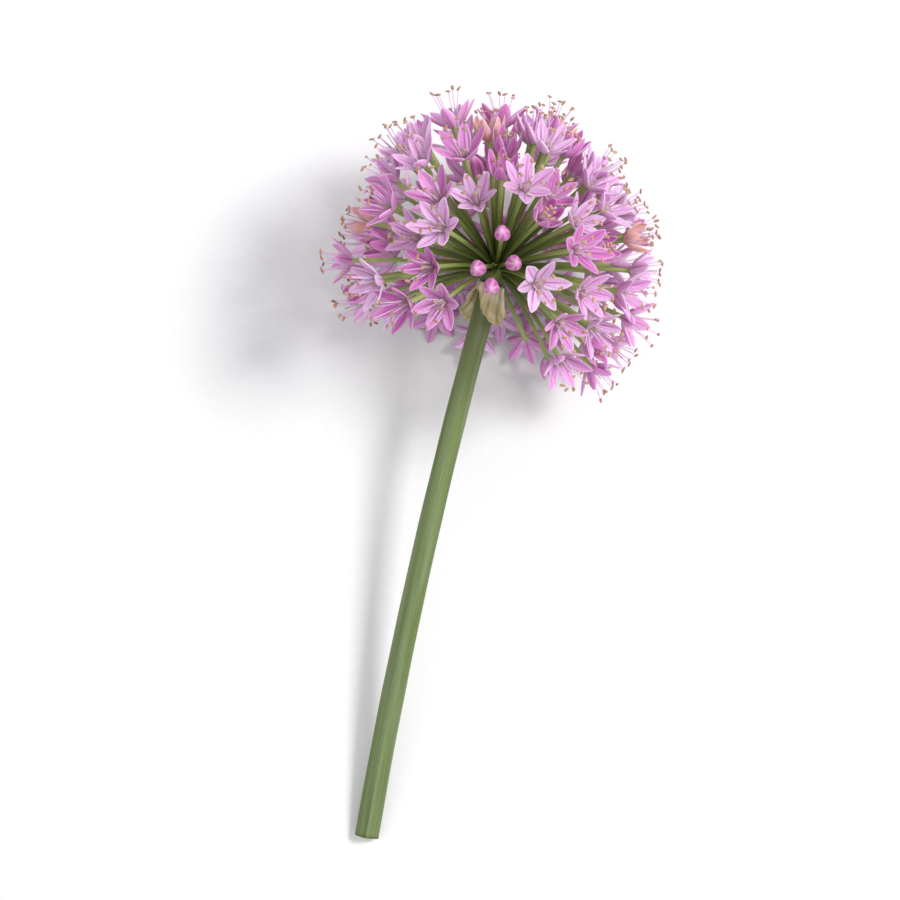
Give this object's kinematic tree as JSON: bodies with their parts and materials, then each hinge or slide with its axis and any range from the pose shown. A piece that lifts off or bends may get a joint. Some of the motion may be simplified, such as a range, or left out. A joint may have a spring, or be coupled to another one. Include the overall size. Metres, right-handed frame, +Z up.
{
  "type": "allium flower head",
  "caption": "Open dome-shaped flower head with pink-lilac florets on thin green pedicels, picked on a cut stalk and lying on its side.",
  "frame": {"origin": "on the surface the flower lies on, under the middle of its bounding box", "axes": "+Y along the flower from the cut end of the stalk towards the head, +Z up from the surface, +X to the right"},
  "size_m": [0.0688, 0.1484, 0.06],
  "materials": {
    "scape_green": "fresh green stalk, satin with fine lengthwise ribs",
    "spathe_papery": "dry papery bract, matt and slightly see-through",
    "floret_lilac": "soft satin petals, pink-lilac with a darker middle vein",
    "bud_pink": "smooth satin buds, deeper pink",
    "pedicel_green": "olive green, satin",
    "anther_tan": "matt, dusted with pollen"
  },
  "bodies": {
    "root": {"scape": "scape_green", "spathe": "spathe_papery", "umbel": "floret_lilac"}
  },
  "joints": []
}
